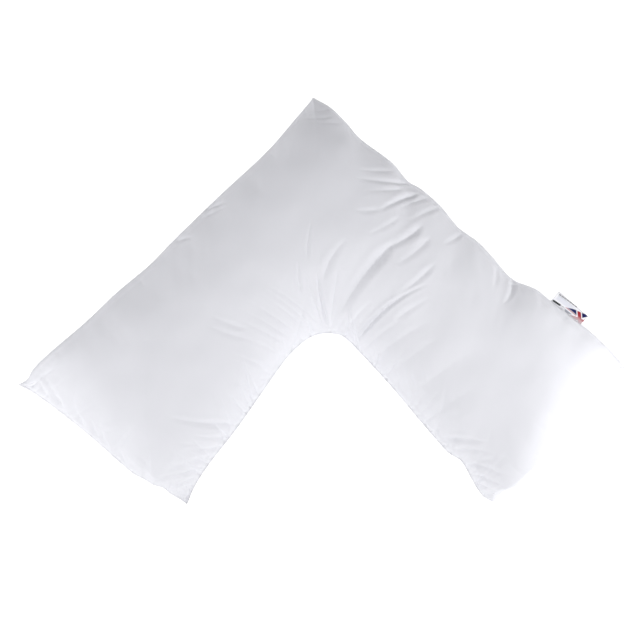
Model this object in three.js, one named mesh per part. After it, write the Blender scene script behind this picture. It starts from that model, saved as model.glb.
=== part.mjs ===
// A V-shaped support pillow lying flat on its back, with a folded label caught in its outer seam.
// Millimetres, +Z up. The origin is on the resting surface, under the middle of the outline's box.
// Seen from above, +Y points out of the closed corner of the V and the two arms open towards -Y.

import * as THREE from 'three';

// Outline: the two outer seams meet at the closed corner
const ARM_LENGTH = 800; // outer seam, from the closed corner to an arm's outer tip
const OPENING_DEG = 95; // between the two outer seams
const LEAN_DEG = 1.6; // of the line midway between the arms, from the Y axis
const LEFT = -1;
const RIGHT = 1;
const LEFT_INNER_TIP = { along: 725, inward: 396 }; // from the closed corner, in the arm's own directions
const RIGHT_INNER_TIP = { along: 778, inward: 365 };
const CROTCH_SHARE = 0.505; // of the inner seam's length, where the inside corner of the V is

// Each seam's own line, walking round the pillow with the filling on the left. along is measured on
// the straight line between the seam's two corners, inward is how far the filled pillow draws it in.
const LEFT_END_SEAM = [
  { along: 36, inward: 5 },
  { along: 100, inward: 8 },
  { along: 180, inward: 4 },
  { along: 283, inward: -7 },
  { along: 302, inward: -4 },
  { along: 322, inward: -6 },
  { along: 345, inward: 1 },
  { along: 362, inward: -1 },
  { along: 385, inward: 0 },
];
const INNER_SEAM = [
  { along: 14, inward: 32 },
  { along: 41, inward: 74 },
  { along: 99, inward: 148 },
  { along: 147, inward: 215 },
  { along: 197, inward: 284 },
  { along: 231, inward: 316 },
  { along: 256, inward: 328 },
  { along: 281, inward: 330 },
  { along: 306, inward: 323 },
  { along: 350, inward: 279 },
  { along: 402, inward: 221 },
  { along: 450, inward: 163 },
  { along: 504, inward: 101 },
  { along: 531, inward: 82 },
  { along: 552, inward: 46 },
  { along: 572, inward: 15 },
];
const RIGHT_END_SEAM = [
  { along: 40, inward: 1 },
  { along: 73, inward: -5 },
  { along: 160, inward: 2 },
  { along: 270, inward: 8 },
  { along: 326, inward: 5 },
  { along: 352, inward: 7 },
];
const OUTER_RIGHT_SEAM = [
  { along: 20, inward: -4 },
  { along: 65, inward: -7 },
  { along: 128, inward: -6 },
  { along: 199, inward: -1 },
  { along: 236, inward: 1 },
  { along: 264, inward: 12 },
  { along: 286, inward: 16 },
  { along: 342, inward: 8 },
  { along: 384, inward: 5 },
  { along: 419, inward: 9 },
  { along: 478, inward: 0 },
  { along: 528, inward: 0 },
  { along: 554, inward: 5 },
  { along: 600, inward: -2 },
  { along: 678, inward: 3 },
  { along: 723, inward: -4 },
  { along: 763, inward: -7 },
];
const OUTER_LEFT_SEAM = [
  { along: 41, inward: 5 },
  { along: 133, inward: 15 },
  { along: 263, inward: 13 },
  { along: 389, inward: 13 },
  { along: 450, inward: 15 },
  { along: 535, inward: 9 },
  { along: 620, inward: 8 },
  { along: 730, inward: 0 },
  { along: 760, inward: 0 },
  { along: 779, inward: 5 },
];

// Section: how the filled pillow stands over the surface
const SEAM_HEIGHT = 62; // of the seam over the surface, away from the tips
const SEAM_THICKNESS = 2.4; // the seam's allowances, where the two panels meet
const CROWN_RISE = 100; // of the upper panel over the seam
const UNDERSIDE_SINK = 96; // of the lower panel under the seam, had the surface not stopped it
const SETTLE_SOFTNESS = 14; // height over which the lower panel rounds off onto the surface
const FILL_REACH = 115; // distance over which the filling carries the crown from a seam
const CROWN_POWER = 0.56; // 0.5 is a full round edge, 1 a slack one
const END_THINNING = 0.5; // share of the upper crown that is gone at an arm's end
const THINNING_POWER = 2; // 1 thins an arm evenly from the bend on, 2 mostly near its end
const EAR_REACH = 78; // of the thin, drooping cloth round a tip
const EAR_DROPS = { leftOuter: 40, leftInner: 34, rightInner: 34, rightOuter: 30, closed: 28 };

// Folds of the upper panel, seen from above with the closed corner at 0, 0. A fold runs from its deep
// end to where it fades out, bows to its left, and has a soft ridge on its right.
const FOLDS = [
  { fromX: 74, fromY: -470, toX: 215, toY: -360, bow: 15, depth: 11, width: 13 },
  { fromX: 40, fromY: -428, toX: 215, toY: -244, bow: 26, depth: 9, width: 17 },
  { fromX: 26, fromY: -446, toX: 18, toY: -330, bow: 6, depth: 7, width: 12 },
  { fromX: 200, fromY: -190, toX: 84, toY: -232, bow: -5, depth: 7, width: 13 },
  { fromX: 196, fromY: -168, toX: 78, toY: -166, bow: 5, depth: 5, width: 12 },
  { fromX: 383, fromY: -352, toX: 352, toY: -402, bow: 6, depth: 11, width: 13 },
  { fromX: 146, fromY: -500, toX: 262, toY: -412, bow: 8, depth: 5, width: 16 },
  { fromX: 204, fromY: -566, toX: 330, toY: -470, bow: 6, depth: 4, width: 20 },
  { fromX: 18, fromY: -440, toX: -126, toY: -346, bow: -8, depth: 5, width: 15 },
  { fromX: -14, fromY: -462, toX: -118, toY: -392, bow: -6, depth: 5, width: 14 },
  { fromX: -78, fromY: -500, toX: -200, toY: -418, bow: -10, depth: 5, width: 15 },
  { fromX: -138, fromY: -632, toX: -272, toY: -612, bow: 6, depth: 6, width: 16 },
  { fromX: -210, fromY: -716, toX: -304, toY: -722, bow: -6, depth: 6, width: 14 },
  { fromX: 246, fromY: -656, toX: 340, toY: -662, bow: 4, depth: 5, width: 14 },
  { fromX: 290, fromY: -706, toX: 376, toY: -716, bow: -4, depth: 5, width: 13 },
  { fromX: -302, fromY: -730, toX: -292, toY: -570, bow: 8, depth: 5, width: 30 },
];
const FOLD_START = 0.12; // share of a fold's length over which it deepens
const RIDGE_SHARE = 0.45; // a fold's ridge, as a share of its depth
const RIDGE_OFFSET = 1.7; // of the ridge from the fold's line, in fold widths

// Puckers: short ripples where the sewing gathers a panel, spaced along each seam
const PUCKERS = {
  leftEnd: { height: 2.6, spacing: 46, reach: 24 },
  inner: { height: 3.2, spacing: 33, reach: 24 },
  rightEnd: { height: 2.4, spacing: 50, reach: 24 },
  outerRight: { height: 2.4, spacing: 62, reach: 26 },
  outerLeft: { height: 2, spacing: 74, reach: 24 },
};
const PUCKER_DRIFT = { by: 0.26, over: 2.7 }; // how unevenly they are spaced, in spacings

// Mesh: cells along the bent strip from arm end to arm end, and across it
const CELLS_PER_ARM = 52;
const CELLS_ACROSS = 24;
const END_CROWDING = 0.45; // 0 spaces the cells evenly, 1 crowds them wholly to the ends
const SEAM_CROWDING = 0.7;
const SEAM_SAMPLES = 400; // steps in which a seam's length is measured
const MEMBRANE_SWEEPS = 400;
const OVER_RELAXATION = 1.7;

// Label: a folded ribbon, standing out of the outer seam of the right arm
const LABEL_START = 604; // from the closed corner, along the outer seam
const LABEL_LENGTH = 73;
const LABEL_REACH = 25;
const LABEL_THICKNESS = 1.2;
const LABEL_GAP = 0.3; // left free between the label and the seam it is sewn into
const LABEL_RISE = 0.22; // slope at which it leaves the seam
const LABEL_CURL = 0.011; // how fast that slope turns down, per millimetre
const LABEL_CELLS = { along: 8, out: 6 };

const radians = THREE.MathUtils.degToRad;

function unit(degrees) {
  return new THREE.Vector2(Math.cos(radians(degrees)), Math.sin(radians(degrees)));
}

// A point by its distances along an arm's outer seam and inward from it, the closed corner at 0, 0
function armPoint(side, along, inward) {
  const direction = 270 + LEAN_DEG + side * OPENING_DEG / 2;
  return unit(direction).multiplyScalar(along)
    .addScaledVector(unit(direction - side * 90), inward);
}

const TIPS = {
  closed: armPoint(LEFT, 0, 0),
  leftOuter: armPoint(LEFT, ARM_LENGTH, 0),
  leftInner: armPoint(LEFT, LEFT_INNER_TIP.along, LEFT_INNER_TIP.inward),
  rightInner: armPoint(RIGHT, RIGHT_INNER_TIP.along, RIGHT_INNER_TIP.inward),
  rightOuter: armPoint(RIGHT, ARM_LENGTH, 0),
};

// A smooth line through the rows and through both corners of the seam, read at one distance
function readRows(rows, length, along) {
  const line = [{ along: 0, inward: 0 }, ...rows, { along: length, inward: 0 }];
  const last = line.length - 1;
  const slope = (i) => {
    const before = line[Math.max(i - 1, 0)];
    const after = line[Math.min(i + 1, last)];
    return (after.inward - before.inward) / (after.along - before.along);
  };
  let i = 0;
  while (i < last - 1 && line[i + 1].along < along) i += 1;
  const step = line[i + 1].along - line[i].along;
  const t = THREE.MathUtils.clamp((along - line[i].along) / step, 0, 1);
  const rise = line[i + 1].inward - line[i].inward;
  const bend = t * (1 - t) ** 2 * (slope(i) * step - rise) - t ** 2 * (1 - t) * (slope(i + 1) * step - rise);
  return line[i].inward + rise * t + bend;
}

// A seam from corner to corner, as a function of the share of its length
function seamLine(start, end, rows) {
  const chord = end.clone().sub(start);
  const length = chord.length();
  const direction = chord.normalize();
  const filling = new THREE.Vector2(-direction.y, direction.x);
  const points = Array.from({ length: SEAM_SAMPLES + 1 }, (_, i) => {
    const along = length * i / SEAM_SAMPLES;
    return start.clone().addScaledVector(direction, along)
      .addScaledVector(filling, readRows(rows, length, along));
  });
  const walked = [0];
  points.slice(1).forEach((point, i) => walked.push(walked[i] + point.distanceTo(points[i])));
  const at = (share) => {
    const target = THREE.MathUtils.clamp(share, 0, 1) * walked[SEAM_SAMPLES];
    let i = 0;
    while (i < SEAM_SAMPLES - 1 && walked[i + 1] < target) i += 1;
    return points[i].clone().lerp(points[i + 1], (target - walked[i]) / (walked[i + 1] - walked[i]));
  };
  return { at, points, walked };
}

const SEAMS = {
  leftEnd: seamLine(TIPS.leftOuter, TIPS.leftInner, LEFT_END_SEAM),
  inner: seamLine(TIPS.leftInner, TIPS.rightInner, INNER_SEAM),
  rightEnd: seamLine(TIPS.rightInner, TIPS.rightOuter, RIGHT_END_SEAM),
  outerRight: seamLine(TIPS.rightOuter, TIPS.closed, OUTER_RIGHT_SEAM),
  outerLeft: seamLine(TIPS.closed, TIPS.leftOuter, OUTER_LEFT_SEAM),
};

// Evenly spaced shares drawn together towards 0 and 1
function crowd(share, crowding) {
  return share - crowding * Math.sin(2 * Math.PI * share) / (2 * Math.PI);
}

// A point of the flat outline: strip runs from -1 at the right arm's end, over 0 at the V's bend, to 1
// at the left arm's end, and across runs from 0 at the outer seam to 1 at the inner one
function outlinePoint(strip, across) {
  const share = crowd(Math.abs(strip), END_CROWDING);
  const v = crowd(across, SEAM_CROWDING);
  const arm = strip > 0
    ? {
      outer: SEAMS.outerLeft.at(share),
      inner: SEAMS.inner.at(CROTCH_SHARE * (1 - share)),
      end: SEAMS.leftEnd.at(v),
      chord: TIPS.leftOuter.clone().lerp(TIPS.leftInner, v),
    }
    : {
      outer: SEAMS.outerRight.at(1 - share),
      inner: SEAMS.inner.at(CROTCH_SHARE + share * (1 - CROTCH_SHARE)),
      end: SEAMS.rightEnd.at(1 - v),
      chord: TIPS.rightOuter.clone().lerp(TIPS.rightInner, v),
    };
  const bow = arm.end.sub(arm.chord).multiplyScalar(share ** 2);
  return arm.outer.lerp(arm.inner, v).add(bow);
}

function makeGrid(rows, columns, pointAt) {
  const points = [];
  for (let i = 0; i <= rows; i += 1) {
    for (let j = 0; j <= columns; j += 1) points.push(pointAt(i, j));
  }
  const at = (i, j) => i * (columns + 1) + j;
  const triangles = [];
  for (let i = 0; i < rows; i += 1) {
    for (let j = 0; j < columns; j += 1) {
      triangles.push([at(i, j), at(i + 1, j), at(i + 1, j + 1)], [at(i, j), at(i + 1, j + 1), at(i, j + 1)]);
    }
  }
  const rim = [];
  for (let i = 0; i < rows; i += 1) rim.push(at(i, 0));
  for (let j = 0; j < columns; j += 1) rim.push(at(rows, j));
  for (let i = rows; i > 0; i -= 1) rim.push(at(i, columns));
  for (let j = columns; j > 0; j -= 1) rim.push(at(0, j));
  return { points, triangles, rim };
}

// The share of the full crown at each point of the flat outline: a membrane held at the seams,
// pushed up evenly by the filling, whose lift levels off away from them
function crownShares({ points, triangles, rim }) {
  const links = points.map(() => []);
  const patch = points.map(() => 0);
  for (const corners of triangles) {
    for (let turn = 0; turn < 3; turn += 1) {
      const [a, b, c] = [0, 1, 2].map((k) => corners[(turn + k) % 3]);
      const toA = points[a].clone().sub(points[c]);
      const toB = points[b].clone().sub(points[c]);
      const doubleArea = Math.abs(toA.cross(toB));
      const pull = toA.dot(toB) / doubleArea / 2;
      links[a].push({ to: b, pull });
      links[b].push({ to: a, pull });
      patch[c] += doubleArea / 6;
    }
  }
  const held = new Set(rim);
  const lift = points.map(() => 0);
  for (let sweep = 0; sweep < MEMBRANE_SWEEPS; sweep += 1) {
    links.forEach((near, i) => {
      if (held.has(i)) return;
      const pulls = near.reduce((sum, link) => sum + link.pull, 0);
      const lifted = near.reduce((sum, link) => sum + link.pull * lift[link.to], patch[i]);
      const rest = lifted / (pulls + patch[i] / FILL_REACH ** 2);
      lift[i] += OVER_RELAXATION * (rest - lift[i]);
    });
  }
  const most = Math.max(...lift);
  return lift.map((value) => (Math.max(value, 0) / most) ** CROWN_POWER);
}

function seamHeight(point) {
  const drops = Object.keys(TIPS).map((tip) => (
    EAR_DROPS[tip] * Math.exp(-((point.distanceTo(TIPS[tip]) / EAR_REACH) ** 2))));
  return SEAM_HEIGHT - drops.reduce((sum, drop) => sum + drop, 0);
}

// How far one fold lowers the cloth at a point
function foldDepth({ fromX, fromY, toX, toY, bow, depth, width }, point) {
  const chord = new THREE.Vector2(toX - fromX, toY - fromY);
  const offset = point.clone().sub(new THREE.Vector2(fromX, fromY));
  const t = offset.dot(chord) / chord.lengthSq();
  if (t <= 0 || t >= 1) return 0;
  const aside = (chord.cross(offset) / chord.length() - 4 * bow * t * (1 - t)) / width;
  const fade = Math.min(t / FOLD_START, 1) * Math.sqrt(1 - t);
  const trough = Math.exp(-(aside ** 2));
  const ridge = RIDGE_SHARE * Math.exp(-((aside + RIDGE_OFFSET) ** 2));
  return depth * fade * (trough - ridge);
}

// How far the nearest seam's puckers lift the cloth at a point
function puckerRise(point) {
  let nearest = { distance: Infinity };
  for (const [name, { points, walked }] of Object.entries(SEAMS)) {
    points.forEach((place, i) => {
      const distance = place.distanceTo(point);
      if (distance < nearest.distance) nearest = { distance, name, walk: walked[i] };
    });
  }
  const { height, spacing, reach } = PUCKERS[nearest.name];
  const turns = 2 * Math.PI * nearest.walk / spacing;
  const drift = 2 * Math.PI * PUCKER_DRIFT.by * Math.sin(turns / PUCKER_DRIFT.over);
  const depth = nearest.distance / reach;
  return height * Math.sin(turns + drift) * depth * Math.exp(1 - depth);
}

// The surface stops the lower panel, which rounds off onto it
function settle(height) {
  if (height <= -SETTLE_SOFTNESS) return 0;
  if (height >= SETTLE_SOFTNESS) return height;
  return (height + SETTLE_SOFTNESS) ** 2 / (4 * SETTLE_SOFTNESS);
}

// One closed solid between an upper and a lower sheet with the same triangles, joined round the rim
function closedSolid(upper, lower, { triangles, rim }) {
  const count = upper.length;
  const faces = triangles.flatMap(([a, b, c]) => [[a, b, c], [c + count, b + count, a + count]]);
  rim.forEach((a, i) => {
    const b = rim[(i + 1) % rim.length];
    faces.push([b, a, a + count], [b, a + count, b + count]);
  });
  const solid = new THREE.BufferGeometry();
  const corners = [...upper, ...lower].flatMap((point) => [point.x, point.y, point.z]);
  solid.setAttribute('position', new THREE.Float32BufferAttribute(corners, 3));
  solid.setIndex(faces.flat());
  solid.computeVertexNormals();
  return solid;
}

function makePillow(middle) {
  const grid = makeGrid(2 * CELLS_PER_ARM, CELLS_ACROSS, (i, j) => (
    outlinePoint(i / CELLS_PER_ARM - 1, j / CELLS_ACROSS)));
  const crown = crownShares(grid);
  const rim = new Set(grid.rim);
  const thinning = (i) => {
    const row = Math.floor(i / (CELLS_ACROSS + 1));
    return 1 - END_THINNING * Math.abs(row / CELLS_PER_ARM - 1) ** THINNING_POWER;
  };
  const panel = (heightOf) => grid.points.map((point, i) => {
    const rise = rim.has(i) ? 0 : puckerRise(point);
    const height = heightOf(point, crown[i], rise, thinning(i));
    return new THREE.Vector3(point.x - middle.x, point.y - middle.y, height);
  });
  const upper = panel((point, share, rise, filled) => {
    const depth = FOLDS.reduce((sum, fold) => sum + foldDepth(fold, point), 0);
    return seamHeight(point) + SEAM_THICKNESS / 2 + (CROWN_RISE * filled - depth) * share + rise;
  });
  const lower = panel((point, share, rise) => (
    settle(seamHeight(point) - SEAM_THICKNESS / 2 - UNDERSIDE_SINK * share + rise)));
  return closedSolid(upper, lower, grid);
}

function makeLabel(middle) {
  const length = TIPS.rightOuter.distanceTo(TIPS.closed);
  const outward = unit(270 + LEAN_DEG + RIGHT * (OPENING_DEG / 2 + 90));
  const grid = makeGrid(LABEL_CELLS.along, LABEL_CELLS.out, (i, j) => {
    const along = LABEL_START + LABEL_LENGTH * i / LABEL_CELLS.along;
    const sewn = SEAMS.outerRight.at(1 - along / length);
    const edge = armPoint(RIGHT, along, -LABEL_REACH);
    const reach = edge.clone().sub(sewn).dot(outward);
    const out = LABEL_GAP + (reach - LABEL_GAP) * j / LABEL_CELLS.out;
    return { place: sewn.addScaledVector(outward, out), out };
  });
  const sheet = (side) => grid.points.map(({ place, out }) => {
    const rise = LABEL_RISE * out - LABEL_CURL * out ** 2 / 2;
    const height = SEAM_HEIGHT + rise + side * LABEL_THICKNESS / 2;
    return new THREE.Vector3(place.x - middle.x, place.y - middle.y, height);
  });
  return closedSolid(sheet(1), sheet(-1), grid);
}

function named(name, geometry, material) {
  const mesh = new THREE.Mesh(geometry, material);
  mesh.name = name;
  return mesh;
}

const outline = new THREE.Box2().setFromPoints(Object.values(SEAMS).flatMap((seam) => seam.points));
const middle = outline.getCenter(new THREE.Vector2());

const cotton = new THREE.MeshStandardMaterial({ color: 0xf1f1f5, roughness: 0.85, metalness: 0 });
const ribbon = new THREE.MeshStandardMaterial({ color: 0xf4f4f6, roughness: 0.55, metalness: 0 });

const pillow = new THREE.Group();
pillow.add(named('pillow', makePillow(middle), cotton));
pillow.add(named('label', makeLabel(middle), ribbon));

export default pillow;
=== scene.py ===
"""A V-shaped pillow in white plain-woven cotton, filled and lying on its back, with a folded label.

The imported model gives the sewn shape. This script rebuilds its two panels as a fine mesh, lets cloth
simulation fill them out, presses in the folds and puckers, and sews and labels the seam.
"""

import math
from collections import namedtuple

import bpy
import numpy as np
from bpy.props import FloatProperty, FloatVectorProperty, IntProperty, PointerProperty
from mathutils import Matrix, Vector


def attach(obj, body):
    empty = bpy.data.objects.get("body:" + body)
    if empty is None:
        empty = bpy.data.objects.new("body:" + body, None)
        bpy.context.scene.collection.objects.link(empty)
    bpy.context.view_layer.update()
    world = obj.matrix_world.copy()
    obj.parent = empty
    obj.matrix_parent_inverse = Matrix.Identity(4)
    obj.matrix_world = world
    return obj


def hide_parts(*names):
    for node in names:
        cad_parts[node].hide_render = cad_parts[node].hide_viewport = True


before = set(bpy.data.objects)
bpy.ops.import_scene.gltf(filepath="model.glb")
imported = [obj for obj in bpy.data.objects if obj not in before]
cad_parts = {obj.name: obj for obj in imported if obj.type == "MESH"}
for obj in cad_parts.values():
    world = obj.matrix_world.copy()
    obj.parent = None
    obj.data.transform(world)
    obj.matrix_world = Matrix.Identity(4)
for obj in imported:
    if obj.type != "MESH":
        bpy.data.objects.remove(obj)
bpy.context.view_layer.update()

bl_info = {
    "name": "V-shaped pillow",
    "version": (1, 0, 0),
    "blender": (4, 5, 0),
    "location": "View3D > Sidebar > Pillow",
    "description": "Builds a filled V-shaped pillow, its seam, its label and a studio stage",
    "category": "Object",
}

MM = 0.001
ROOT = "root"

# Sewn shape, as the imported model's rows of cells give it
PILLOW_ROWS = 104  # cells from the right arm's end round the bend to the left arm's end
PILLOW_COLUMNS = 24  # cells from the outer seam to the inner one
LABEL_ROWS = 8
LABEL_COLUMNS = 6
SMOOTHING_ROWS = 1.8  # spread of the evening out of the model's folds, in its cells
ENDS_KEPT = 8  # cells at the arms' ends over which the evening out fades
SEAMS_KEPT = 1.5  # cells at the seams over which it fades
CORNER_ROWS = 2.2  # spread of the rounding behind the closed corner, where the model has a hip
CORNER_REACH = 10  # cells on each side of the corner over which that fades
CORNER_START = 9  # cells from the seam over which it grows
CALM_ROWS = 6  # spread of the evening out of the cloth's movement, in the simulated cloth's cells
CALM_COLUMNS = 2
COARSE_SPLIT = 2  # cells of the simulated cloth for each of the model's, both ways
ROW_CROWDING = -0.25  # of the fine mesh's cells at the arms' ends: a negative one draws them apart
COLUMN_CROWDING = -0.35

# The closed corner of the V, seen from above, from which folds are measured
CLOSED_CORNER = Vector((-15.1, 394.5)) * MM

# Folds of the upper panel, in millimetres from the closed corner, as the photograph shows them. A fold
# starts at its deep end, bows to its left, and has raised ridges beside it, as a share of its depth. Each
# row of the three tables says what the names of a Fold say, in their order.
Fold = namedtuple("Fold", "from_x from_y to_x to_y bow depth width ridge")
FOLDS_ROUND_INNER_CORNER = [
    (77, -481, 213, -364, 16, 7, 4.4, 0.45),
    (150, -434, 216, -391, 2, 3, 6, 0.3),
    (232, -322, 150, -390, 3, 3.6, 5.5, 0.35),
    (158, -280, 50, -421, -8, 7.4, 9, 0.4),
    (210, -249, 130, -300, 5, 5.6, 7, 0.35),
    (166, -236, 104, -272, 2, 2, 5, 0.3),
    (28, -449, 7, -343, 2, 5, 3.8, 0.4),
    (20, -447, -16, -345, 0, 2.4, 3.8, 0.35),
    (33, -440, 50, -325, 2, 2.2, 5, 0.3),
    (18, -362, 63, -281, 8, 4.2, 7, 0.3),
    (-20, -385, -28, -321, 2, 3, 3.4, 0.3),
    (-9, -325, -3, -248, 3, 2.2, 3.4, 0.25),
    (16, -443, -88, -364, -4, 1.8, 3.6, 0.35),
    (4, -449, -94, -371, -3, 1.2, 3.2, 0.3),
    (-7, -455, -99, -382, -3, 1.6, 3.6, 0.35),
    (-26, -460, -123, -395, -3, 1.6, 3.6, 0.35),
    (-36, -471, -138, -410, -3, 1.2, 3.4, 0.3),
    (-43, -483, -146, -429, -4, 1.8, 4, 0.35),
    (-117, -449, -192, -420, 4, 2.4, 5, 0.35),
    (-122, -466, -196, -441, 3, 2, 5, 0.3),
    (-63, -495, -142, -460, -2, 1.6, 4, 0.3),
    (-80, -526, -150, -495, -2, 1.4, 4, 0.3),
    (61, -462, 113, -395, 6, 3.4, 4.6, 0.35),
    (90, -495, 167, -430, 4, 2.6, 5.5, 0.3),
    (105, -514, 225, -430, 6, 2, 7, 0.25),
    (136, -545, 244, -460, 6, 1.7, 8, 0.25),
    (171, -588, 287, -495, 4, 1.4, 9, 0.2),
    (206, -626, 321, -549, 4, 1.2, 9, 0.2),
]
FOLDS_AT_OUTER_SEAMS = [
    (205, -190, 122, -228, -3, 6.4, 5.8, 0.35),
    (227, -195, 160, -223, -2, 3.4, 5, 0.3),
    (128, -225, 76, -227, 2, 2.2, 5, 0.25),
    (196, -170, 80, -165, 3, 3.8, 4.6, 0.35),
    (159, -148, 82, -148, 2, 2.6, 5, 0.25),
    (176, -182, 96, -190, 2, 2.4, 5, 0.25),
    (246, -214, 180, -247, -2, 3, 5.4, 0.3),
    (225, -271, 155, -328, 4, 3.6, 7, 0.25),
    (287, -263, 244, -290, 2, 3, 5, 0.25),
    (381, -350, 358, -402, 6, 4.8, 5.5, 0.4),
    (350, -321, 337, -375, 4, 2.6, 5, 0.25),
    (40, -42, -26, -42, 4, 1.8, 3.8, 0.3),
    (36, -26, -9, -28, 2, 1.6, 3.4, 0.3),
    (61, -55, -11, -53, 2, 1.6, 4, 0.3),
    (-219, -227, -161, -207, 3, 4, 4.4, 0.3),
    (-209, -236, -165, -217, 2, 2.8, 4, 0.3),
    (-267, -283, -227, -275, 2, 3, 4.4, 0.3),
    (-325, -330, -286, -322, 2, 1.8, 4.4, 0.3),
]
FOLDS_AT_ARM_ENDS = [
    (-142, -630, -271, -613, 4, 5, 6, 0.35),
    (-151, -657, -227, -648, 2, 4, 4.8, 0.35),
    (-161, -676, -242, -675, 2, 3.4, 4.8, 0.3),
    (-194, -690, -283, -709, 3, 3.8, 4.8, 0.35),
    (-211, -717, -298, -723, 3, 4.4, 4.4, 0.35),
    (-221, -732, -285, -750, 2, 3, 4, 0.3),
    (-225, -750, -277, -759, 2, 3, 4, 0.25),
    (-478, -602, -511, -548, 2, 5, 6, 0.3),
    (-508, -588, -530, -545, 1, 3.6, 5, 0.25),
    (-436, -640, -452, -600, 1, 3.6, 5, 0.25),
    (-414, -660, -421, -622, 1, 4.4, 4.6, 0.25),
    (-390, -684, -405, -640, 2, 5, 5, 0.25),
    (-355, -716, -368, -676, 2, 4, 5, 0.25),
    (238, -657, 329, -659, 3, 4.8, 5, 0.35),
    (263, -676, 341, -678, 2, 3.8, 4.8, 0.3),
    (294, -705, 366, -711, 3, 5, 4.6, 0.35),
    (302, -725, 370, -731, 2, 4.6, 4.4, 0.3),
    (314, -746, 360, -750, 2, 3.8, 4.4, 0.3),
    (329, -767, 358, -761, 1, 2.6, 4, 0.25),
    (526, -601, 524, -572, 1, 5, 4, 0.25),
    (561, -559, 584, -536, 1, 4, 4, 0.25),
]
FOLDS = [Fold(*row) for row in FOLDS_ROUND_INNER_CORNER + FOLDS_AT_OUTER_SEAMS + FOLDS_AT_ARM_ENDS]
FOLDS_FADE = 8 * MM  # from the seams, over which folds fade
FOLD_START = 0.3  # share of a fold's length over which it deepens
FOLD_TIPS = 0.5  # width of a fold at its ends, as a share of its width
CREASE_SHARE = 0.4  # of a fold's depth that is its crisp crease, the rest being its soft trough
CREASE_WIDTH = 0.3  # of the crease, as a share of the fold's width
RIDGE_OFFSET = 2.1  # of the ridges beside the fold's line, in fold widths
RIDGE_WIDTH = 0.9  # in fold widths

# Broad swellings of the filling near the arms' inner tips, in millimetres. Roundness 1 makes a sharp line
# along the middle, 2 a soft one.
Swelling = namedtuple("Swelling", "from_x from_y to_x to_y height width roundness")
SWELLINGS = [
    Swelling(-300, -850, -312, -470, height=14, width=42, roundness=1.6),
    Swelling(336, -850, 485, -455, height=17, width=48, roundness=2),
    Swelling(395, -850, 430, -300, height=16, width=95, roundness=2),
]
SWELLING_SKEW = 0.6  # under 1, a swelling is highest nearer its start
SWELLINGS_FADE = 40 * MM

# Small puckers that the sewing draws into both panels, in millimetres. Each is a short trough square to
# its seam. Spacing, reach, width and depth are averages.
Puckers = namedtuple("Puckers", "side spacing reach width depth seed")
SEAM_PUCKERS = [
    Puckers("outer", spacing=19, reach=45, width=3.2, depth=0.8, seed=11),
    Puckers("left end", spacing=12, reach=75, width=3.6, depth=2.2, seed=41),
    Puckers("inner", spacing=11, reach=80, width=3.2, depth=3, seed=23),
    Puckers("right end", spacing=13, reach=65, width=3.4, depth=1.8, seed=37),
]
PUCKER_SPREADS = {"spacing": (0.5, 1.5), "reach": (0.35, 1.6), "width": (0.7, 1.6), "depth": (0.3, 1.4)}
PUCKER_SLANT = 0.45  # most, to each side
PUCKER_START = 3 * MM  # from the seam, over which puckers deepen
LOWER_SEED = 100  # added to the seeds for the lower panel
LUMPS_SEED = 5

WAVES = 28  # in the filling's unevenness
WAVE_LENGTHS = (34 * MM, 150 * MM)
WAVES_FADE = 30 * MM
WAVES_RISE = 20 * MM  # height over the surface at which they are whole

RESTING = 0.5 * MM  # height over the surface under which the cloth lies still

# How the simulated cloth of the case behaves
CLOTH = {
    "quality": 6, "mass": 0.2, "tension_stiffness": 40, "compression_stiffness": 40,
    "shear_stiffness": 20, "bending_stiffness": 0.2, "use_pressure": True,
}

SEWING_INSET = 3.2 * MM  # of the edge sewing from the seam's edge
SEWING = {}  # the line of that sewing on both panels, kept by the case for its stitches

# Ribbon of the label
RIBBON_ROWS = 72
RIBBON_COLUMNS = 30
RIBBON_BEND = 0.65  # radius of its fold, in its thicknesses

# Print and painted shade on the label's front, in millimetres along the seam and out from it: from, to, from,
# to
# Painted shade: a grey band along the ribbon's fold
PAINTED_FOLD_SHADE_BAND = (-2, 75, 21.2, 26)
PALE_FIELD = (5, 50, 8.5, 19)
PALE_BLUE = Vector((0.66, 0.67, 0.75))
PAINTED_FOLD_SHADE_LINES = (24.4, 26)  # painted shade: dark lines along the fold and along one cut side
PAINTED_SIDE_SHADE_LINE = (-1, 0.6)
# Plain rules have also how dark each is and how far it climbs for each millimetre along. Those paler than
# WHOLE_RULE are broken into dashes.
RULES = [
    (4, 47, 18.2, 20.2, 0.85, 0.08),
    (4, 24, 16.0, 17.0, 0.4, 0.08),
    (26, 40, 16.6, 17.4, 0.3, 0.06),
    (2.5, 20, 0.8, 4.4, 1.0, 0.06),
    (20, 31, 2.0, 4.2, 0.4, 0.06),
    (34, 42, 2.0, 5.0, 0.3, 0.06),
]
WHOLE_RULE = 0.9
DASH = (3.1, 2.5)  # half the dashes' spacing, and half of a dash
FLAG_PLACE = (66, 4.6)  # its centre
FLAG_SIZE = (56, 36)
FLAG_TURN = 39  # degrees from the label's long edge to the flag's, anticlockwise
FLAG_LEAN = 0.28  # how far its level edges drop for each millimetre along them
FLAG_WAVE = (0.16, 0.7)  # radians for each millimetre, and height
FLAG_DIAGONALS = {"white": 2.4, "red": 0.8}  # half widths, in thirtieths of the flag's height
FLAG_CROSS = {"white": 4.6, "red": 3}
FLAG_LIMITS = (-5, 23.5)  # how far out from the seam its print goes
FLAG_PAINTED_HIGHLIGHT = (-1, 11, 0.4, 1)  # from, to, and how strong the print is there: weaker towards the seam, a painted highlight
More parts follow.
